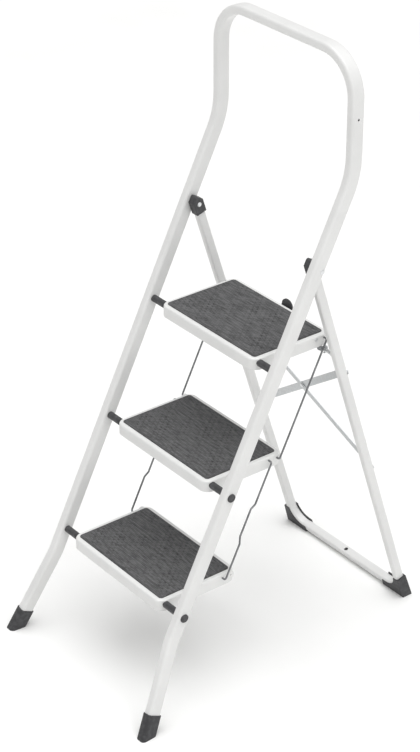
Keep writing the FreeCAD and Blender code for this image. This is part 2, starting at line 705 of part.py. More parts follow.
def leg_cap(name, side):
    """A plastic cap over the top end of a rear leg; it turns on the hinge pin."""
    deep = size("rear_tube_depth") + 2 * size("leg_cap_wall")
    corner = Vector(-leg_cap_width / 2, -deep / 2, -size("leg_cap_drop"))
    block = Part.makeBox(leg_cap_width, deep, size("leg_cap_rise") + size("leg_cap_drop"), corner)
    top = [edge for edge in block.Edges
           if abs(edge.CenterOfMass.z - size("leg_cap_rise")) < TOUCH
           and abs(edge.CenterOfMass.x) < TOUCH]
    block = block.makeChamfer(size("leg_cap_chamfer"), top)
    sides = [edge for edge in block.Edges
             if abs(edge.CenterOfMass.x) > leg_cap_width / 2 - TOUCH
             and edge.CenterOfMass.z > -size("leg_cap_drop") + TOUCH]
    block = block.makeFillet(size("leg_cap_edge"), sides)
    socket = rear_section(size("boot_fit"))
    socket.translate(Vector(0, 0, -size("leg_cap_drop")))
    depth = size("leg_cap_drop") + size("rear_tube_reach") + size("boot_fit")
    bore = cross_drill(size("hinge_pin_radius") + size("running_fit"), Vector(0, 0, 0), through)
    cap = block.cut([socket.extrude(Z_AXIS * depth), bore])
    local = Placement(Vector(side * rear_offset, 0, 0), Rotation())
    solid_feature("rear_leg_cap_" + name, cap, rear_place.multiply(local))


def rear_shoe(name, side):
    """A plastic shoe that wraps a lower corner of the rear frame, with a level sole.

    It wraps the outside, the front and the back of the bend, has a thin rim along the back
    of its inside, and leaves the tube's inner face bare.
    """
    front = -size("rear_tube_depth") / 2 - size("shoe_front")
    depth = size("rear_tube_depth") + size("shoe_front") + size("shoe_back")
    inner = rear_offset - size("shoe_reach")
    outer = rear_offset + size("rear_tube_width") / 2
    low = -bar_drop - size("rear_tube_width") - size("shoe_sole")
    high = -bar_drop + size("shoe_height")
    outline = [
        Vector(inner, front, low),
        Vector(outer + size("shoe_side_low"), front, low),
        Vector(outer + size("shoe_side_low"), front, -bar_drop - size("rear_tube_width") / 2),
        Vector(outer + size("shoe_side_high"), front, high),
        Vector(inner, front, high),
    ]
    block = Part.Face(Part.makePolygon(outline + outline[:1])).extrude(Y_AXIS * depth)
    inwards = size("shoe_cover") - size("rear_tube_width") / 2
    core_side = rear_offset - inwards
    core_low = inwards - bar_drop
    core = Part.makeBox(core_side, depth, bar_drop, Vector(0, front, core_low))
    lower_edge = [edge for edge in core.Edges
                  if abs(edge.CenterOfMass.x - core_side) < TOUCH
                  and abs(edge.CenterOfMass.z - core_low) < TOUCH]
    core = core.makeFillet(size("rear_bend_radius") - inwards, lower_edge)
    route = [Vector(0, 0, -bar_drop), Vector(rear_offset, 0, -bar_drop),
             Vector(rear_offset, 0, high + size("shoe_height"))]
    lip_width = size("rear_tube_width") + 2 * size("shoe_lip")
    lip = bent_bar(rounded_face(lip_width, 2 * depth, size("shoe_lip") / 2), route, REAR_RADII, Z_AXIS)
    rim_front = front + depth - size("shoe_lip_depth")
    rim_space = Part.makeBox(through, size("shoe_lip_depth"), through,
                             Vector(0, rim_front, -bar_drop - through / 2))
    shoe = block.cut(core).fuse(block.common(lip).common(rim_space))
    tube = bent_bar(rear_section(size("boot_fit")), route, REAR_RADII, Z_AXIS)
    shoe = shoe.cut(tube).removeSplitter()
    shoe = max(shoe.Solids, key=lambda solid: solid.Volume)
    if side < 0:
        shoe = shoe.mirror(Vector(0, 0, 0), X_AXIS)
    shoe.Placement = rear_place.multiply(shoe.Placement)
    corner = Vector(-through / 2, bar_centre.y - through / 2, -through)
    floor = Part.makeBox(through, through, through, corner)
    solid_feature("rear_shoe_" + name, shoe.cut(floor))


def cross_rod():
    """The rod between the rear legs that the top tread's hooks sit on."""
    rod = doc.addObject("Part::Cylinder", "Rod_cross")
    rod.setExpression("Radius", "Sizes.rod_radius")
    rod.setExpression("Height", "Worked.rod_length")
    doc.recompute()
    start = Vector(-rod.Height.Value / 2, -size("rod_forward"), -size("rod_below_hinge"))
    rod.Placement = rear_place.multiply(Placement(start, Rotation(Z_AXIS, X_AXIS)))
    keep(rod, "rear_cross_rod")


def brace_strip(name, side):
    """A flat strip from one rear leg to the other, riveted at its ends and at the crossing."""
    body = new_body("brace_strip_" + name)
    plan = sketch_on(body, "XY_Plane", "StripPlan_" + name)
    length = cell("brace_length", "Worked")
    add_rounded_rectangle(plan, length, cell("brace_width"), cell("strip_corner", "Worked"))
    pad(body, plan, "Strip_" + name, "Sizes.brace_thickness")
    holes = sketch_on(body, "XY_Plane", "StripHoles_" + name)
    reach = cell("brace_half_run", "Worked")
    bore = "Worked.rivet_bore"
    radius = size("rivet_radius")
    add_circle(holes, radius, bore, "middle")
    add_circle(holes, radius, bore, "right", centre=[reach, (0.0, None)])
    add_circle(holes, radius, bore, "left",
               centre=[(-reach[0], "-" + reach[1]), (0.0, None)])
    pocket(body, holes, "StripBores_" + name)
    layer = 0 if side < 0 else size("brace_thickness")
    slope = math.degrees(math.atan2(side * size("brace_drop"), 2 * rear_offset))
    behind = size("rear_tube_depth") / 2 + layer
    upright_turn = Rotation(X_AXIS, 90)
    local = Placement(Vector(0, behind + size("brace_thickness"), -size("brace_below_hinge")),
                      upright_turn.multiply(Rotation(Z_AXIS, slope)))
    body.Placement = rear_place.multiply(local)


def brace_rivets():
    """The rivets of the brace: one at the crossing and one at each end, as separate solids."""
    back = size("rear_tube_depth") / 2
    sheet_one = size("brace_thickness")
    head = size("rivet_head_height")
    solids = []

    def rivet(x, z, start, end, collars):
        shaft = Part.makeCylinder(size("rivet_radius"), end - start, Vector(x, start, z), Y_AXIS)
        heads = [Part.makeCylinder(size("rivet_head_radius"), thick, Vector(x, low, z), Y_AXIS)
                 for low, thick in collars]
        solids.append(shaft.multiFuse(heads).removeSplitter())

    middle = -size("brace_below_hinge")
    both = back + 2 * sheet_one
    rivet(0, middle, back - head, both + head, [(back - head, head), (both, head)])
    inside = back - size("rivet_tail")
    for side in (-1, 1):
        for end in (-1, 1):
            lift = middle + end * size("brace_drop") / 2
            upper_strip = side * end > 0
            top = both if upper_strip else back + sheet_one
            collars = [(top, head)]
            if upper_strip:
                collars.append((back, sheet_one))
            rivet(side * rear_offset, lift, inside, top + head, collars)
    solid_feature("brace_rivets", Part.makeCompound(solids), rear_place)


# --- treads, drawn with the axle at their origin --------------------------------------------

def tread_pan(index):
    """A pressed steel pan with a turned-down rim, drilled for its axle and its lift wires."""
    name = TREADS[index]
    body = new_body(name + "_tread_pan")
    plan = sketch_on(body, "XY_Plane", "PanPlan_" + name)
    add_rounded_rectangle(plan, cell("tread_width", "Worked"), cell("tread_depth"),
                          cell("tread_corner"), middle=cell("pan_middle", "Worked"))
    pad(body, plan, "PanBlock_" + name, "Sizes.tread_height")
    top = size("tread_height")
    rim = edges_where(body, lambda edge, middle: middle.z > top - TOUCH)
    dress(body, "Fillet", "PanBend_" + name, rim, "Sizes.tread_bend")
    if name != "top":
        ear = sketch_on(body, "YZ_Plane", "EarPlan_" + name)
        add_circle(ear, size("ear_radius"), "Sizes.ear_radius", "ear",
                   centre=[cell("upper_pin_back", "Worked"), cell("pin_up", "Worked")])
        pad(body, ear, "Ear_" + name, "Worked.ear_span", both_ways=True)
    inside = sketch_on(body, "XY_Plane", "PanInside_" + name)
    add_rounded_rectangle(inside, cell("pan_inner_width", "Worked"),
                          cell("pan_inner_depth", "Worked"), cell("pan_inner_corner", "Worked"),
                          middle=cell("pan_middle", "Worked"))
    pocket(body, inside, "PanHollow_" + name, "Worked.pan_inner_height", backwards=True)
    holes = sketch_on(body, "YZ_Plane", "PanHoles_" + name)
    add_circle(holes, size("bush_radius"), "Worked.bush_hole", "axle",
               centre=[(0.0, None), cell("axle_up", "Worked")])
    rim_holes = {
        "bottom": (("upper_pin_back", "open_hole"), ("lower_pin_back", "open_hole")),
        "middle": (("upper_pin_back", "open_hole"), ("lower_pin_back", "wire_hole")),
        "top": (("upper_pin_back", "wire_hole"), ("hook_rivet_back", "hook_rivet_hole")),
    }
    for place, hole in rim_holes[name]:
        add_circle(holes, size("wire_radius"), "Worked." + hole, place,
                   centre=[cell(place, "Worked"), cell("pin_up", "Worked")])
    pocket(body, holes, "PanBores_" + name)
    body.Placement = Placement(axles[index] + Z_AXIS * pan_bottom, Rotation())


def tread_mat(index):
    """The rubber mat on top of a pan."""
    name = TREADS[index]
    body = new_body(name + "_tread_mat")
    plan = sketch_on(body, "XY_Plane", "MatPlan_" + name)
    add_rounded_rectangle(plan, cell("mat_width", "Worked"), cell("mat_depth", "Worked"),
                          cell("mat_corner"), middle=cell("pan_middle", "Worked"))
    pad(body, plan, "Mat_" + name, "Sizes.mat_thickness")
    body.Placement = Placement(axles[index] + Z_AXIS * pan_top, Rotation())


def tread_bushes(index):
    """The two plastic bushes that carry a pan on its axle, as separate solids."""
    bore = size("axle_radius") + size("running_fit")
    outside = tread_side
    inside = tread_side - size("tread_sheet")
    depth = size("tread_depth") - 2 * size("tread_sheet")
    hollow = rounded_face(2 * inside, depth, size("tread_corner") - size("tread_sheet"))
    hollow.translate(Vector(0, pan_middle, pan_bottom))
    hollow = hollow.extrude(Z_AXIS * (size("tread_height") - size("tread_sheet")))
    solids = []
    for name, side in SIDES:
        direction = X_AXIS * side
        barrel = Part.makeCylinder(size("bush_radius"), outside - inside, direction * inside, direction)
        flange_start = direction * (inside - size("bush_flange"))
        flange = Part.makeCylinder(size("bush_flange_radius"), size("bush_flange"),
                                   flange_start, direction).common(hollow)
        hole = Part.makeCylinder(bore, outside, Vector(0, 0, 0), direction)
        solids.append(barrel.fuse(flange).removeSplitter().cut(hole))
    solid_feature(TREADS[index] + "_tread_bushes", Part.makeCompound(solids), tread_places[index])


def hook_plate(name, side):
    """A steel plate inside the top tread's rim whose slot drops over the cross rod."""
    rod = rod_centre - axles[2]
    thickness = size("hook_thickness")
    inside = tread_side - size("tread_sheet")
    start = inside - thickness if side > 0 else -inside
    lobe = size("hook_lobe_radius")
    back = pan_rear - size("tread_corner") - size("hook_corner_gap")
    front = back - size("hook_plate_length")
    high = pan_top - size("hook_below_top")
    low = high - size("hook_plate_height")
    arm = size("hook_arm")
    elbow = Vector(start, back - arm, pan_bottom - arm - size("hook_corner_gap"))
    outline = [
        Vector(start, front, high),
        Vector(start, back, high),
        Vector(start, back, elbow.z),
        Vector(start, elbow.y - arm, elbow.z),
        Vector(start, front, low),
    ]
    plate = Part.Face(Part.makePolygon(outline + outline[:1])).extrude(X_AXIS * thickness)
    hook_centre = Vector(start, rod.y, rod.z)
    reach = hook_centre - elbow
    aside = X_AXIS.cross(reach).normalize() * arm
    strip = [elbow - aside, hook_centre - aside, hook_centre + aside, elbow + aside]
    additions = [
        Part.makeCylinder(arm, thickness, elbow, X_AXIS),
        Part.Face(Part.makePolygon(strip + strip[:1])).extrude(X_AXIS * thickness),
        Part.makeCylinder(lobe, thickness, hook_centre, X_AXIS),
    ]
    plate = plate.multiFuse(additions).removeSplitter()
    gap = size("rod_radius") + size("rod_fit")
    exit_angle = math.radians(size("hook_exit_angle"))
    way_out = Vector(0, -math.sin(exit_angle), -math.cos(exit_angle))
    seat = Part.makeCylinder(gap, thickness, Vector(start, rod.y, rod.z), X_AXIS)
    slot_length = 2 * lobe
    beside = Vector(0, math.cos(exit_angle), -math.sin(exit_angle))
    slot = Part.makeBox(thickness, 2 * gap, slot_length)
    corner = Vector(start, rod.y, rod.z) + way_out * slot_length - beside * gap
    slot.Placement = Placement(corner, Rotation(X_AXIS, -math.degrees(exit_angle)))
    rivet_hole = size("hook_rivet_radius") + size("seat_fit")
    rivet_bore = cross_drill(rivet_hole, Vector(0, hook_rivet_back, size("pin_lift")), through)
    plate = plate.cut([seat, slot, rivet_bore])
    solid_feature("hook_plate_" + name, plate, tread_places[2])


def hook_rivets():
    """The rivets that hold the hook plates on the top tread's rim, as separate solids."""
    solids = []
    head = size("rivet_head_height")
    spot = Vector(0, hook_rivet_back, size("pin_lift"))
    for name, side in SIDES:
        direction = X_AXIS * side
        inside = tread_side - size("tread_sheet") - size("hook_thickness")
        shaft = Part.makeCylinder(size("hook_rivet_radius"), tread_side - inside,
                                  spot + direction * inside, direction)
        heads = [Part.makeCylinder(size("rivet_head_radius"), head, spot + direction * low, direction)
                 for low in (inside - head, tread_side)]
        solids.append(shaft.multiFuse(heads).removeSplitter())
    solid_feature("hook_rivets", Part.makeCompound(solids), tread_places[2])


# --- catch at the back of the top tread -----------------------------------------------------

catch_pivot = Vector(
    size("catch_centre"),
    pan_rear + size("catch_gap") + size("catch_thickness") / 2,
    pan_top - size("catch_pivot_below_top"),
)
barrel_radius = size("catch_pin_radius") + size("catch_thickness") / 2


def catch_bracket():
    """A foot on the pan's rim with two lugs for the catch pin."""
    width = size("catch_width") + 2 * (size("lug_thickness") + size("loose_fit"))
    left = catch_pivot.x - width / 2
    lug_high = 2 * barrel_radius
    reach = catch_pivot.y + barrel_radius - pan_rear
    corner = Vector(left, pan_rear, catch_pivot.z - barrel_radius)
    solid = Part.makeBox(width, size("tread_sheet"), lug_high, corner)
    for start in (left, left + width - size("lug_thickness")):
        place = Vector(start, pan_rear, catch_pivot.z - barrel_radius)
        solid = solid.fuse(Part.makeBox(size("lug_thickness"), reach, lug_high, place))
    hole = cross_drill(size("catch_pin_radius") + size("seat_fit"), catch_pivot, through)
    solid_feature("catch_bracket", solid.removeSplitter().cut(hole), tread_places[2])


def catch_pin():
    """The pin that the catch lever turns on."""
    length = size("catch_width") + 2 * (2 * size("lug_thickness") + size("loose_fit"))
    pin = cross_drill(size("catch_pin_radius"), catch_pivot, length)
    solid_feature("catch_pin", pin, tread_places[2])


def catch_lever():
    """The plastic finger lever that locks the top tread to the cross rod."""
    width = size("catch_width")
    thickness = size("catch_thickness")
    high = pan_top + size("catch_rise") - catch_pivot.z
    corner = catch_pivot + Vector(-width / 2, -thickness / 2, -size("catch_drop"))
    blade = Part.makeBox(width, thickness, high + size("catch_drop"), corner)
    top = [edge for edge in blade.Edges
           if abs(edge.CenterOfMass.z - catch_pivot.z - high) < TOUCH
           and abs(edge.CenterOfMass.y - catch_pivot.y) < TOUCH]
    blade = blade.makeFillet((width - size("catch_flat")) / 2, top)
    barrel = cross_drill(barrel_radius, catch_pivot, width)
    bore = cross_drill(size("catch_pin_radius") + size("running_fit"), catch_pivot, through)
    solid_feature("catch_lever", blade.fuse(barrel).removeSplitter().cut(bore), tread_places[2])


# --- lift wires ------------------------------------------------------------------------

def lift_wire(label, side, lower_tread, back, jogged):
    """A bent wire from one tread to the next, hooked through both rims.

    It runs parallel to the legs, so that the two treads and the wire form a parallelogram.
    """
    start = axles[lower_tread] + Vector(0, back, size("pin_lift"))
    end = axles[lower_tread + 1] + Vector(0, back, size("pin_lift"))
    outside = X_AXIS * (side * (tread_side + size("wire_gap")))
    inside = X_AXIS * (side * (tread_side - size("wire_reach_in")))
    route = [inside + start, outside + start]
    if jogged:
        jog = X_AXIS * (side * (tread_side + size("jog_gap")))
        first = size("jog_start")
        ramp = size("jog_ramp")
        last = first + size("jog_length")
        route += [
            outside + start + leg_up * first,
            jog + start + leg_up * (first + ramp),
            jog + start + leg_up * (last - ramp),
            outside + start + leg_up * last,
        ]
    route += [outside + end, inside + end]
    radii = [size("wire_bend_radius")] * (len(route) - 2)
    wire = bent_bar(round_face(size("wire_radius")), route, radii, leg_up)
    solid_feature(label, wire)


# --- the whole ladder ----------------------------------------------------------------

front_frame_tube()
for name, side in SIDES:
    front_foot(name, side)
    hinge_pin(name, side)
    hinge_washer(name, side)
for index, length_cell in enumerate(
        ("Worked.through_length", "Worked.through_length", "Worked.inside_length")):
    axle(TREADS[index], axles[index], length_cell)
    for name, side in SIDES:
        sleeve("%s_sleeve_%s" % (TREADS[index], name), axles[index], side)
        if TREADS[index] != "top":
            axle_cap("%s_axle_cap_%s" % (TREADS[index], name), axles[index], side)

rear_frame_tube()
cross_rod()
brace_rivets()
for name, side in SIDES:
    leg_cap(name, side)
    rear_shoe(name, side)
    brace_strip(name, side)

for index in range(3):
    tread_pan(index)
    tread_mat(index)
    tread_bushes(index)
hook_rivets()
catch_bracket()
catch_pin()
catch_lever()
for name, side in SIDES:
    hook_plate(name, side)
    lift_wire("upper_lift_wire_" + name, side, 1, upper_pin_back, False)
    lift_wire("lower_lift_wire_" + name, side, 0, lower_pin_back, True)

doc.recompute()
for thing in doc.Objects:
    if "Invalid" in thing.State or "Error" in thing.State:
        raise ValueError("%s failed: %s" % (thing.Label, thing.State))
for thing in parts:
    if thing.Shape.isNull() or not thing.Shape.isValid() or not thing.Shape.Solids:
        raise ValueError("%s has no valid solid" % thing.Label)

os.makedirs("parts", exist_ok=True)
for thing in parts:
    thing.Shape.exportStep("parts/%s.step" % thing.Label)
print("%d sub-parts, rear lean %.2f, hinge at y %.1f z %.1f"
      % (len(parts), math.degrees(rear_lean), hinge.y, hinge.z))
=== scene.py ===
"""A folding three-tread step ladder: its finishes, its ribbed rubber mats, its rivets and plugs,
its weld beads, and the plain studio that it is set in."""

import json
import math

import bpy
import numpy as np
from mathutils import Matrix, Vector


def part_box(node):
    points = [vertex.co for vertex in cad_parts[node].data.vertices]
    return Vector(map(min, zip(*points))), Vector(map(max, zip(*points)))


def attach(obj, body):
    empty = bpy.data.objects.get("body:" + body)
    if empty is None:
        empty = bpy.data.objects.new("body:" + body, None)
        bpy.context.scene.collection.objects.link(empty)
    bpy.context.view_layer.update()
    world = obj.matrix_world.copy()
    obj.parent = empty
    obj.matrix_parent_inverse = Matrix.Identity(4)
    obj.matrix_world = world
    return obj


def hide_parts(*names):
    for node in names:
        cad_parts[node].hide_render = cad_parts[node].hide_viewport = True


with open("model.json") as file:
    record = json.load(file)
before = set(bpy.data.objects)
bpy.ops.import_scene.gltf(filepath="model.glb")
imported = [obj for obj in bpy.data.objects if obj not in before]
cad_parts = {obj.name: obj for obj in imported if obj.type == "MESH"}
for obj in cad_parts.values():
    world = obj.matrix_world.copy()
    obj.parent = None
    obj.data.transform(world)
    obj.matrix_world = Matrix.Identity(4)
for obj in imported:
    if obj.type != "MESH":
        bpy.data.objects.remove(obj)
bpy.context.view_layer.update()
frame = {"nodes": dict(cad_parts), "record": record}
MM = 0.001


# --- camera and studio -------------------------------------------------------------------

def place_camera():
    """A long lens from the user's right, a little above the handle."""
    lens = bpy.data.cameras.new("long_lens")
    lens.sensor_width = 36.0
    lens.lens = 103.84
    camera = bpy.data.objects.new("camera", lens)
    camera.location = (2.98375, -2.34549, 2.75618)
    camera.rotation_euler = (math.radians(60.31), 0.0, math.radians(52.09))
    bpy.context.scene.collection.objects.link(camera)
    bpy.context.scene.camera = camera


def soft_box(name, place, aim, side, watts):
    """A square diffusing light of that side in metres, facing the point aim."""
    panel = bpy.data.lights.new(name, "AREA")
    panel.size = side
    panel.energy = watts
    lamp = bpy.data.objects.new(name, panel)
    lamp.location = place
    heading = Vector(aim) - Vector(place)
    lamp.rotation_euler = heading.to_track_quat("-Z", "Y").to_euler()
    bpy.context.scene.collection.objects.link(lamp)


def soft_sky(name, toward, strength):
    """A very wide light that falls from that direction all over the floor."""
    glow = bpy.data.lights.new(name, "SUN")
    glow.energy = strength
    glow.angle = math.radians(70.0)
    lamp = bpy.data.objects.new(name, glow)
    lamp.rotation_euler = Vector(toward).to_track_quat("Z", "Y").to_euler()
    bpy.context.scene.collection.objects.link(lamp)


# --- tools for materials -------------------------------------------------------------------

def linear(code):
    """An sRGB hex colour as linear red, green, blue and alpha: c/12.92 near black, else a power."""
    parts = [int(code[start:start + 2], 16) / 255 for start in (1, 3, 5)]
    return [c / 12.92 if c <= 0.04045 else ((c + 0.055) / 1.055) ** 2.4 for c in parts] + [1.0]


def add(tree, kind, settings=None, inputs=None):
    """Adds one node. Settings are its properties; inputs are numbers, or another node's socket."""
    made = tree.nodes.new("ShaderNode" + kind)
    for name, value in (settings or {}).items():
        setattr(made, name, value)
    for name, value in (inputs or {}).items():
        if isinstance(value, bpy.types.NodeSocket):
            tree.links.new(value, made.inputs[name])
        else:
            made.inputs[name].default_value = value
    return made


def start_material(name):
    """An empty node tree for a finish, and the place in metres that its patterns read."""
    material = bpy.data.materials.new(name)
    material.use_nodes = True
    material.node_tree.nodes.clear()
    tree = material.node_tree
    return material, tree, add(tree, "TexCoord").outputs["Object"]


def end_material(tree, **surface):
    """Closes the tree with a surface shader. Underscores in a socket's name stand for spaces."""
    inputs = {name.replace("_", " "): value for name, value in surface.items()}
    shader = add(tree, "BsdfPrincipled", inputs=inputs)
    add(tree, "OutputMaterial", inputs={"Surface": shader.outputs["BSDF"]})


def cloudy(tree, where, size_mm, detail=2.0):
    """Soft noise with lumps about size_mm wide."""
    scale = 1.0 / (size_mm * MM)
    made = add(tree, "TexNoise", inputs={"Vector": where, "Scale": scale, "Detail": detail})
    return made.outputs["Fac"]


def between(tree, factor, low, high, start=0.3, end=0.7):
    """Maps a factor from start..end to low..high."""
    made = add(tree, "MapRange", inputs={
        "Value": factor, "From Min": start, "From Max": end, "To Min": low, "To Max": high})
    return made.outputs["Result"]


def tinted(tree, factor, dark, light, start=0.3, end=0.7):
    """Blends two hex colours as a factor goes from start to end."""
    ramp = add(tree, "ValToRGB", inputs={"Fac": factor})
    ramp.color_ramp.elements[0].position = start
    ramp.color_ramp.elements[0].color = linear(dark)
    ramp.color_ramp.elements[1].position = end
    ramp.color_ramp.elements[1].color = linear(light)
    return ramp.outputs["Color"]


def relief(tree, height, depth_mm, strength):
    """Bump of that depth from a height between 0 and 1."""
    inputs = {"Height": height, "Distance": depth_mm * MM, "Strength": strength}
    return add(tree, "Bump", inputs=inputs).outputs["Normal"]


# --- the finishes ----------------------------------------------------------------------------

def powder_coat(name, dark, light, peel_mm):
    """Polyester powder coat baked on steel. The melt leaves a fine orange peel, and a satin
    gloss that changes a little from place to place where hands have polished it."""
    material, tree, where = start_material(name)
    patches = cloudy(tree, where, 70.0, 3.0)
    peel = cloudy(tree, where, peel_mm, 1.0)
    rub = cloudy(tree, where, 22.0, 4.0)
    end_material(
        tree,
        Base_Color=tinted(tree, patches, dark, light),
        Roughness=between(tree, rub, 0.30, 0.44),
        Normal=relief(tree, peel, 0.05, 0.35),
        IOR=1.5,
        Coat_Weight=0.15,
        Coat_Roughness=0.22,
    )
    return material


def moulded_plastic(name, dark, light, rough, grain_mm):
    """Polypropylene moulded against a spark-eroded steel tool, which gives a fine even grain.
    Scuffs lift the colour a little, as on plastic that touches floors and shoes."""
    material, tree, where = start_material(name)
    grain = cloudy(tree, where, grain_mm, 2.0)
    scuffs = cloudy(tree, where, 9.0, 5.0)
    end_material(
        tree,
        Base_Color=tinted(tree, scuffs, dark, light, 0.42, 0.75),
        Roughness=between(tree, grain, rough - 0.08, rough + 0.08),
        Normal=relief(tree, grain, 0.09, 0.5),
        IOR=1.49,
    )
    return material


def ribbed_rubber():
    """Calendered rubber with ribs and short dimples. Dust lies in streaks along the ribs. The mat's
    relief attribute paints shade: the grooves, the dimples and the moulded edge dark, the crests
    lighter."""
    material, tree, where = start_material("calendered_rubber")
    # The relief attribute is painted shade: dark in grooves, dimples and along the mat's edge,
    # lighter on the crests.
    height = add(tree, "Attribute", {"attribute_name": "relief"}).outputs["Fac"]
    dust = cloudy(tree, where, 35.0, 4.0)
    drawn_out = add(tree, "Mapping", inputs={"Vector": where, "Scale": (0.2, 1.0, 1.0)})
    streaks = cloudy(tree, drawn_out.outputs["Vector"], 4.5, 3.0)
    grit = cloudy(tree, where, 0.9, 2.0)
    dust_and_painted_shade = add(tree, "Math", {"operation": "MULTIPLY_ADD"},
               {0: dust, 1: 0.35, 2: height}).outputs["Value"]
    streaked = add(tree, "Math", {"operation": "MULTIPLY_ADD"},
                   {0: streaks, 1: 1.9, 2: dust_and_painted_shade}).outputs["Value"]
    speckled = add(tree, "Math", {"operation": "MULTIPLY_ADD"},
                   {0: grit, 1: 0.16, 2: streaked}).outputs["Value"]
    pale = between(tree, speckled, 0.0, 1.0, 1.00, 2.25)
    end_material(
        tree,
        Base_Color=tinted(tree, pale, "#262627", "#6a6a6b", 0.0, 1.0),
        Roughness=between(tree, dust, 0.62, 0.80),
        Normal=relief(tree, grit, 0.08, 0.5),
        IOR=1.52,
        Specular_IOR_Level=0.4,
    )
    return material


def plated_steel(name, dark, light, rough):
    """Cold-headed or rolled steel with bright zinc plating. The plating is cloudy in patches
    of a few millimetres and keeps faint tool lines."""
    material, tree, where = start_material(name)
    bloom = cloudy(tree, where, 6.0, 4.0)
    lines = add(tree, "Mapping", inputs={"Vector": where, "Scale": (0.06, 1.0, 1.0)})
    tool = cloudy(tree, lines.outputs["Vector"], 0.5, 2.0)
    end_material(
        tree,
        Base_Color=tinted(tree, bloom, dark, light),
        Metallic=1.0,
        Roughness=between(tree, bloom, rough - 0.06, rough + 0.10),
        Normal=relief(tree, tool, 0.02, 0.5),
    )
    return material


def drawn_wire():
    """Spring wire pulled through a die and zinc plated. The die leaves lines along the wire,
    which leans with the legs, so the pattern is turned by the same angle and stretched."""
    material, tree, where = start_material("drawn_zinc_wire")
    along = add(tree, "Mapping", inputs={
        "Vector": where, "Rotation": (math.radians(26.4), 0.0, 0.0), "Scale": (1.0, 1.0, 0.05)})
    lines = cloudy(tree, along.outputs["Vector"], 0.7, 2.0)
    tarnish = cloudy(tree, where, 18.0, 4.0)
    end_material(
        tree,
        Base_Color=tinted(tree, tarnish, "#77787a", "#9b9c9e"),
        Metallic=1.0,
        Roughness=between(tree, lines, 0.26, 0.42),
        Normal=relief(tree, lines, 0.02, 0.5),
    )
    return material


def natural_nylon():
    """Uncoloured nylon: milky, slightly waxy, with a faint machined grain."""
    material, tree, where = start_material("natural_nylon")
    cloud = cloudy(tree, where, 4.0, 3.0)
    end_material(
        tree,
        Base_Color=tinted(tree, cloud, "#cfccc2", "#dedbd2"),
        Roughness=between(tree, cloud, 0.42, 0.55),
        Normal=relief(tree, cloudy(tree, where, 0.5), 0.03, 0.4),
        Subsurface_Weight=0.15,
        Subsurface_Radius=(0.0015, 0.0014, 0.0012),
        IOR=1.53,
    )
    return material


def studio_floor():
    """Matt painted board, a little uneven, for the ladder to stand on."""
    material, tree, where = start_material("painted_board")
    cloud = cloudy(tree, where, 400.0, 3.0)
    end_material(
        tree,
        Base_Color=tinted(tree, cloud, "#f5f5f4", "#f9f9f8"),
        Roughness=between(tree, cloud, 0.75, 0.85),
    )
    return material


# --- tools for new pieces ------------------------------------------------------------------------

def make_piece(name, corners, faces, material, body, nodes=(), sharp_degrees=32.0):
    """A closed mesh in the row frame that rides on a body and takes the place of some CAD nodes."""
    mesh = bpy.data.meshes.new(name)
    mesh.from_pydata(corners, [], faces)
    mesh.polygons.foreach_set("use_smooth", np.ones(len(mesh.polygons), bool))
    mesh.set_sharp_from_angle(angle=math.radians(sharp_degrees))
    mesh.materials.append(material)
    piece = bpy.data.objects.new(name, mesh)
    bpy.context.scene.collection.objects.link(piece)
    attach(piece, body)
    if nodes:
        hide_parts(*nodes)
    return piece


def turned(along, radius, base, axis, around=48):
    """A shape turned on a lathe.

    Ring k lies at base + axis * along[k], and its points are radius[k] * (cos a, sin a) in the
    plane across the axis. The first and last rings are closed by one flat face each.
    """
    axis = np.asarray(axis, float)
    helper = np.array([0.0, 0.0, 1.0]) if abs(axis[2]) < 0.9 else np.array([0.0, 1.0, 0.0])
    first = np.cross(helper, axis)
    first /= np.linalg.norm(first)
    second = np.cross(axis, first)
    angle = np.linspace(0, 2 * math.pi, around, endpoint=False)
    ring = np.outer(np.cos(angle), first) + np.outer(np.sin(angle), second)
    along = np.asarray(along, float)[:, None, None]
    radius = np.asarray(radius, float)[:, None, None]
    corners = (np.asarray(base, float) + along * axis + radius * ring).reshape(-1, 3)
    rows = len(along)
    k, a = np.meshgrid(np.arange(rows - 1), np.arange(around), indexing="ij")
    here = k * around + a
    beside = k * around + (a + 1) % around
    faces = np.stack([here, beside, beside + around, here + around], -1).reshape(-1, 4).tolist()
    ends = np.arange(around)
    faces.append(ends[::-1].tolist())
    faces.append((ends + (rows - 1) * around).tolist())
    return corners, faces


def joined(shapes):
    """Several (corners, faces) shapes as one."""
    corners = np.concatenate([shape[0] for shape in shapes])
    faces = []
    first = 0
    for points, cells in shapes:
        faces += [[index + first for index in cell] for cell in cells]
        first += len(points)
    return corners, faces


def domed(radius, height, rim, steps=9):
    """Profile of a rivet's head: a straight rim, then an ellipse quarter up to the middle."""
    turn = np.linspace(0, math.pi / 2 * 0.97, steps)
    along = np.concatenate([[0.0], rim + (height - rim) * np.sin(turn)])
    across = np.concatenate([[radius], radius * np.cos(turn)])
    return along, across


# --- the mats ------------------------------------------------------------------------------------

# All of these but the two counts are in millimetres.
RIB_PITCH = 4.0
DIMPLE_PITCH = (13.0, 8.0)
DIMPLE_HALF = (3.0, 1.2)
MAT_BASE = 1.0
MAT_CORNER = 7.0
MAT_COLUMNS = 176
MAT_ROWS = 346


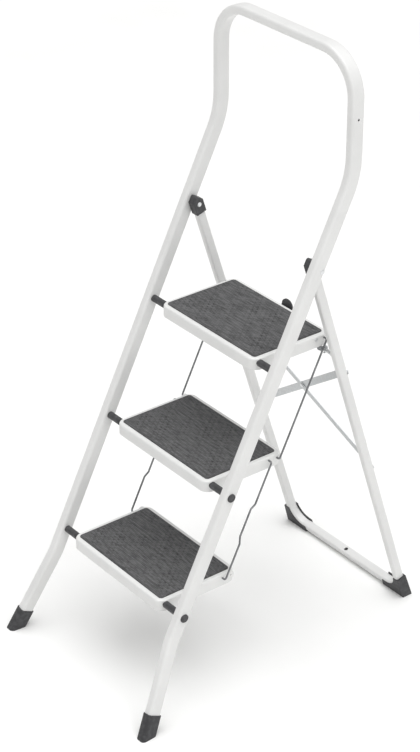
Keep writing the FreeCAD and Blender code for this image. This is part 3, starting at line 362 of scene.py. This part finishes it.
def mat_height(x, y, half, corner):
    """Height of the mat in mm over a point in mm, and a painted shade value, 0 to 1: low in grooves,
    dimples and the edge.

    Ribs are a cosine of y with a 4 mm pitch, and every second groove is deeper. Dimples are
    short elliptic bells on a staggered grid, their depth changing slowly over the mat as the
    calender rolls wear. Ribs and dimples fade out near the outline, and the last millimetre
    rolls down as a quarter ellipse of the distance to the outline.
    """
    q = np.stack([np.abs(x) - (half[0] - corner), np.abs(y) - (half[1] - corner)])
    outside = np.hypot(np.maximum(q[0], 0), np.maximum(q[1], 0))
    inset = corner - outside - np.minimum(np.maximum(q[0], q[1]), 0)
    inset = np.maximum(inset, 0)
    field = np.clip((inset - 3.0) / 1.5, 0, 1)
    ribs = 0.5 + 0.5 * np.cos(2 * math.pi * y / RIB_PITCH)
    ribs = ribs ** 0.7 * (0.75 + 0.25 * np.cos(math.pi * y / RIB_PITCH))
    row = np.round(y / DIMPLE_PITCH[1])
    shift = np.where(row % 2 == 0, 0.0, DIMPLE_PITCH[0] / 2)
    across = (x - shift) - DIMPLE_PITCH[0] * np.round((x - shift) / DIMPLE_PITCH[0])
    down = y - DIMPLE_PITCH[1] * row
    wear = 0.5 + 0.3 * np.sin(x / 31 + 1.3) * np.sin(y / 23) + 0.2 * np.sin(x / 9 + y / 13)
    spread = (across / DIMPLE_HALF[0]) ** 2 + (down / DIMPLE_HALF[1]) ** 2
    dimple = wear * np.exp(-spread ** 2)
    ribs = ribs * (1 - dimple)
    body = 1.95 + 0.55 * ribs * field - 0.9 * dimple * field
    roll = np.sqrt(1 - (1 - np.clip(inset / 1.0, 0, 1)) ** 2)
    # Painted shade: high on rib crests, low in grooves and dimples, 0.38 on the plain border and
    # lower still on the rolled edge, a painted shadow line round the mat.
    painted_shading = np.clip(0.26 + 0.60 * ribs - 0.40 * dimple, 0, 1) * field + 0.38 * (1 - field)
    return MAT_BASE + (body - MAT_BASE) * roll, painted_shading * (0.15 + 0.85 * roll)


def ribbed_mat(name, node, body, material):
    """A rubber mat as a grid over its outline.

    Row j lies at one y, and its columns are spread over the outline's width there, which is
    the full width less corner - sqrt(corner^2 - d^2) where d reaches into the round corner.
    A wall drops from the grid's rim to a flat underside.
    """
    low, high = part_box(node)
    half = ((high.x - low.x) / 2 / MM, (high.y - low.y) / 2 / MM)
    corner = MAT_CORNER
    edge = np.array([0.0, 0.12, 0.35, 0.7, 1.1])
    core = half[0] - edge[-1]
    columns = np.linspace(-core, core, MAT_COLUMNS)
    columns = np.concatenate([-half[0] + edge[:-1], columns, half[0] - edge[:-1][::-1]])
    deep = half[1] - edge[-1]
    rows = np.linspace(-deep, deep, MAT_ROWS)
    rows = np.concatenate([-half[1] + edge[:-1], rows, half[1] - edge[:-1][::-1]])
    into = np.maximum(np.abs(rows) - (half[1] - corner), 0)
    width = half[0] - corner + np.sqrt(np.maximum(corner ** 2 - into ** 2, 0))
    x = columns[None, :] * (width / half[0])[:, None]
    y = np.repeat(rows[:, None], len(columns), axis=1)
    z, painted_shading = mat_height(x, y, half, corner)
    count_y, count_x = x.shape
    top = np.stack([x, y, z], -1).reshape(-1, 3)
    j, i = np.meshgrid(np.arange(count_y - 1), np.arange(count_x - 1), indexing="ij")
    here = j * count_x + i
    faces = np.stack([here, here + 1, here + count_x + 1, here + count_x], -1)
    faces = faces.reshape(-1, 4).tolist()
    rim = np.concatenate([
        np.arange(count_x),
        np.arange(1, count_y) * count_x + count_x - 1,
        (count_y - 1) * count_x + np.arange(count_x - 2, -1, -1),
        np.arange(count_y - 2, 0, -1) * count_x,
    ])
    foot = top[rim] * np.array([1.0, 1.0, 0.0])
    start = len(top)
    below = start + np.arange(len(rim))
    after = np.roll(rim, -1)
    below_after = np.roll(below, -1)
    faces += np.stack([rim, below, below_after, after], -1).tolist()
    faces.append(below[::-1].tolist())
    corners = np.concatenate([top, foot]) * MM
    corners += np.array([(low.x + high.x) / 2, (low.y + high.y) / 2, low.z])
    piece = make_piece(name, corners, faces, material, body, [node], 60.0)
    # Painted shade for the rubber's colour, with 0.1 on the side wall as a painted shadow round the
    # mat.
    values = np.concatenate([painted_shading.reshape(-1), np.full(len(rim), 0.1)])
    layer = piece.data.attributes.new("relief", "FLOAT", "POINT")
    layer.data.foreach_set("value", values.astype(np.float32))


# --- plugs and rivets ----------------------------------------------------------------------------

def axle_plug(node, side, material):
    """The push-on plug over an axle's end: a rounded rim, a shallow ring groove, a flat middle."""
    low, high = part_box(node)
    radius = (high.z - low.z) / 2
    height = high.x - low.x
    base = (low.x if side > 0 else high.x, (low.y + high.y) / 2, (low.z + high.z) / 2)
    turn = np.linspace(0, math.pi / 2, 8)
    round_mm = 2.4 * MM
    along = [0.0]
    across = [radius]
    along += list(height - round_mm + round_mm * np.sin(turn))
    across += list(radius - round_mm + round_mm * np.cos(turn))
    for share, drop in ((0.66, 0.0), (0.62, 0.35), (0.54, 0.35), (0.50, 0.0), (0.10, 0.1)):
        across.append(radius * share)
        along.append(height - drop * MM)
    corners, faces = turned(along, across, base, (side, 0, 0))
    make_piece("plug_" + node, corners, faces, material, "front_frame", [node])


def hinge_rivet(node, material):
    """The main hinge's rivet: a shaft between two domed heads."""
    low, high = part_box(node)
    radius = (high.z - low.z) / 2
    head = 1.6 * MM
    shaft = 3.0 * MM
    base = (low.x, (low.y + high.y) / 2, (low.z + high.z) / 2)
    length = high.x - low.x
    up, out = domed(radius, head, 0.3 * head)
    along = np.concatenate([head - up[::-1], [head, length - head], length - head + up])
    across = np.concatenate([out[::-1], [shaft, shaft], out])
    corners, faces = turned(along, across, base, (1, 0, 0))
    make_piece("rivet_" + node, corners, faces, material, "front_frame", [node])


def weld_beads(material):
    """Beads where the cross rod meets the rear legs.

    Each bead is a ring around the rod whose thickness is 1.3 mm plus a small cosine of the
    angle with 14 waves, the ripples of the puddle.
    """
    low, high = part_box("rear_cross_rod")
    radius = (high.z - low.z) / 2
    middle = np.array([0.0, (low.y + high.y) / 2, (low.z + high.z) / 2])
    around, section = 84, 14
    a = np.linspace(0, 2 * math.pi, around, endpoint=False)[:, None]
    b = np.linspace(0, 2 * math.pi, section, endpoint=False)[None, :]
    thick = (1.3 + 0.16 * np.cos(14 * a)) * MM
    shapes = []
    for side in (-1, 1):
        end = high.x if side > 0 else low.x
        out = radius + thick * np.cos(b)
        x = end - side * 0.5 * MM + thick * np.sin(b)
        points = np.stack([x, out * np.cos(a), out * np.sin(a)], -1).reshape(-1, 3) + middle
        i, j = np.meshgrid(np.arange(around), np.arange(section), indexing="ij")
        here = i * section + j
        right = i * section + (j + 1) % section
        next_here = (i + 1) % around * section + j
        next_right = (i + 1) % around * section + (j + 1) % section
        cells = np.stack([here, next_here, next_right, right], -1).reshape(-1, 4)
        shapes.append((points, cells.tolist()))
    corners, faces = joined(shapes)
    make_piece("weld_beads", corners, faces, material, "rear_frame")


# --- the ladder ------------------------------------------------------------------------------------

place_camera()

tube_coat = powder_coat("tube_powder_coat", "#dededd", "#e3e3e2", 1.4)
sheet_coat = powder_coat("sheet_powder_coat", "#e0e0df", "#e6e6e5", 1.1)
foot_plastic = moulded_plastic("polypropylene_feet", "#343436", "#4a4a4c", 0.55, 0.7)
trim_plastic = moulded_plastic("polypropylene_trim", "#3b3b3d", "#4c4c4e", 0.46, 0.5)
rubber = ribbed_rubber()
zinc = plated_steel("bright_zinc_steel", "#d4d6d7", "#e8e9ea", 0.34)
hook_zinc = plated_steel("hook_zinc_steel", "#8b8d8f", "#a9abad", 0.32)
strip_steel = plated_steel("zinc_strip_steel", "#c2c4c5", "#d4d6d7", 0.50)
wire = drawn_wire()
nylon = natural_nylon()

FINISHES = {
    "brace_steel": strip_steel,
    "white_powder_coat": tube_coat,
    "white_tread_coat": sheet_coat,
    "ribbed_rubber": rubber,
    "foot_plastic": foot_plastic,
    "dark_plastic": trim_plastic,
    "washer_plastic": nylon,
    "zinc_steel": zinc,
    "wire_steel": wire,
    "hook_steel": hook_zinc,
}
for entry in frame["record"]["subparts"]:
    cad_node = frame["nodes"][entry["node"]]
    for material_slot in cad_node.material_slots:
        material_slot.material = FINISHES[entry["material_slot"]]

for tread in ("bottom", "middle", "top"):
    ribbed_mat("ribbed_mat_" + tread, tread + "_tread_mat", tread + "_tread", rubber)
for tread in ("bottom", "middle"):
    axle_plug(tread + "_axle_cap_left", -1, trim_plastic)
    axle_plug(tread + "_axle_cap_right", 1, trim_plastic)
for hand in ("left", "right"):
    hinge_rivet("hinge_pin_" + hand, zinc)
weld_beads(tube_coat)

floor_mesh = bpy.data.meshes.new("floor")
far = 40.0
floor_corners = [(-far, -far, 0), (far, -far, 0), (far, far, 0), (-far, far, 0)]
floor_mesh.from_pydata(floor_corners, [], [(0, 1, 2, 3)])
floor_mesh.materials.append(studio_floor())
floor = bpy.data.objects.new("floor", floor_mesh)
bpy.context.scene.collection.objects.link(floor)

soft_sky("ceiling_glow", (0.12, 0.02, 1.0), 2.15)
soft_box("overhead_panel", (0.3, -0.6, 3.6), (0.0, 0.0, 0.4), 3.0, 14.0)
soft_box("right_panel", (3.2, -0.4, 1.9), (0.0, 0.0, 0.6), 1.8, 14.0)
soft_box("front_panel", (-1.4, -3.4, 2.0), (0.0, 0.0, 0.6), 1.8, 0.8)

bpy.context.scene.view_settings.view_transform = "Standard"
room = bpy.data.worlds.new("room")
room.use_nodes = True
bpy.context.scene.world = room
room.node_tree.nodes["Background"].inputs["Color"].default_value = (1.0, 1.0, 1.0, 1.0)
room.node_tree.nodes["Background"].inputs["Strength"].default_value = 0.40
